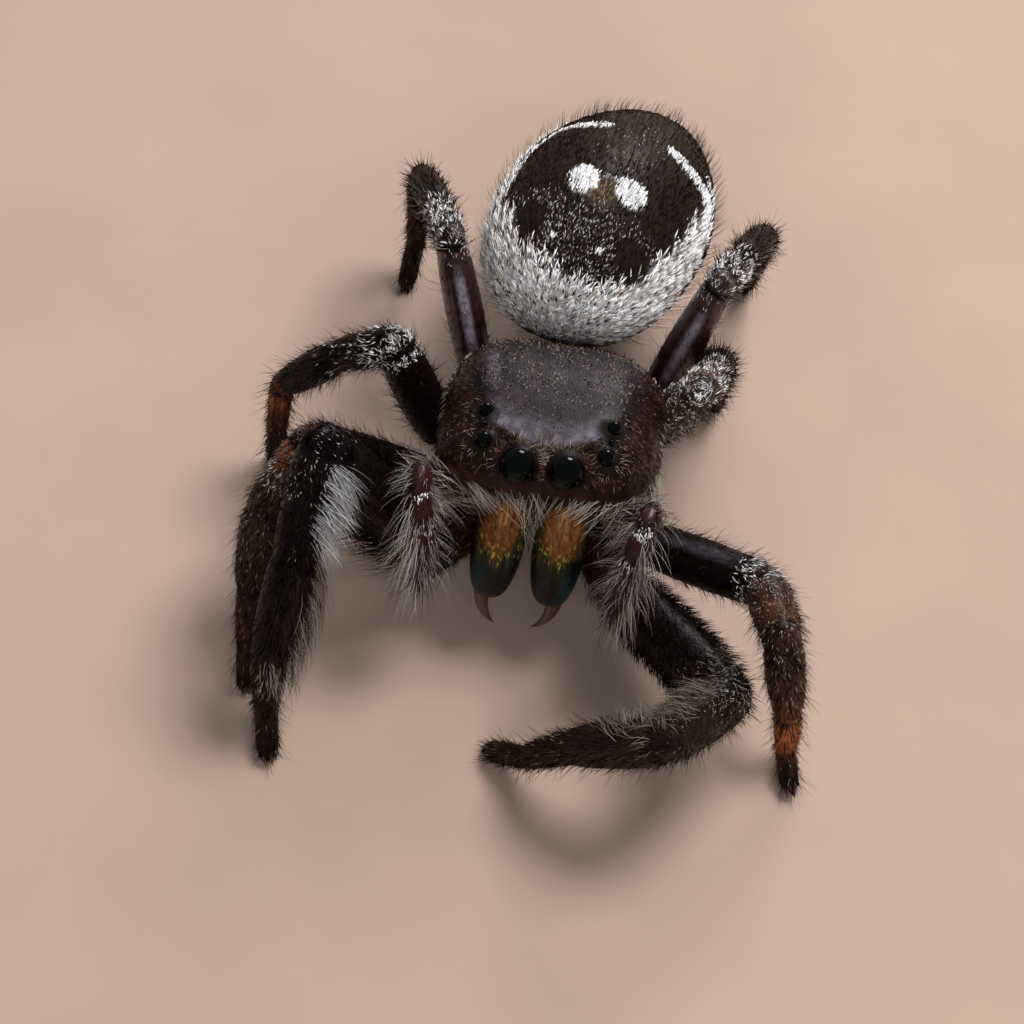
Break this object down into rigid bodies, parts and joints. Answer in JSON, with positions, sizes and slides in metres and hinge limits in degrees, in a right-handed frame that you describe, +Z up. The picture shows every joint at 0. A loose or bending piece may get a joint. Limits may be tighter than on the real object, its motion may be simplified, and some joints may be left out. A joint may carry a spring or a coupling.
{
  "type": "jumping spider",
  "caption": "Life-size still model of a furry jumping spider standing on its feet, head raised, a front leg reaching round in front of it.",
  "frame": {"origin": "middle of the box round the model, on the floor that the feet stand on", "axes": "+Z up, the head points along -Y, +X is the spider's own left"},
  "size_m": [0.0116, 0.0166, 0.0054],
  "materials": {
    "eye": "wet, near black",
    "carapace": "dark shell with a violet-grey sheen and sparse scales",
    "jaw": "polished shell, copper with a green-gold sheen",
    "fang": "polished horn",
    "mouth": "matt brown shell with short hairs",
    "abdomen": "velvety black with scales and white spots",
    "spinneret": "short hairs",
    "palp": "red-brown with long pale fringes",
    "coxa": "dark brown, nearly bare",
    "femur": "dark shell with a violet sheen, fringed",
    "patella": "dark with pale scales at the knee",
    "tibia": "dark, fringed with bristles",
    "foot": "red-brown, short bristles"
  },
  "bodies": {
    "root": {"eye_front_middle_left": "eye", "eye_front_side_left": "eye", "eye_rear_small_left": "eye", "eye_rear_side_left": "eye", "chelicera_left": "jaw", "fang_left": "fang", "palp_left": "palp", "leg1_left_coxa": "coxa", "leg1_left_femur": "femur", "leg1_left_patella": "patella", "leg1_left_tibia": "tibia", "leg1_left_foot": "foot", "leg2_left_coxa": "coxa", "leg2_left_femur": "femur", "leg2_left_patella": "patella", "leg2_left_tibia": "tibia", "leg2_left_foot": "foot", "leg3_left_coxa": "coxa", "leg3_left_femur": "femur", "leg3_left_patella": "patella", "leg3_left_tibia": "tibia", "leg3_left_foot": "foot", "leg4_left_coxa": "coxa", "leg4_left_femur": "femur", "leg4_left_patella": "patella", "leg4_left_tibia": "tibia", "leg4_left_foot": "foot", "eye_front_middle_right": "eye", "eye_front_side_right": "eye", "eye_rear_small_right": "eye", "eye_rear_side_right": "eye", "chelicera_right": "jaw", "fang_right": "fang", "palp_right": "palp", "leg1_right_coxa": "coxa", "leg1_right_femur": "femur", "leg1_right_patella": "patella", "leg1_right_tibia": "tibia", "leg1_right_foot": "foot", "leg2_right_coxa": "coxa", "leg2_right_femur": "femur", "leg2_right_patella": "patella", "leg2_right_tibia": "tibia", "leg2_right_foot": "foot", "leg3_right_coxa": "coxa", "leg3_right_femur": "femur", "leg3_right_patella": "patella", "leg3_right_tibia": "tibia", "leg3_right_foot": "foot", "leg4_right_coxa": "coxa", "leg4_right_femur": "femur", "leg4_right_patella": "patella", "leg4_right_tibia": "tibia", "leg4_right_foot": "foot", "carapace": "carapace", "mouthparts": "mouth", "sternum": "mouth", "abdomen": "abdomen", "spinnerets": "spinneret"}
  },
  "joints": []
}
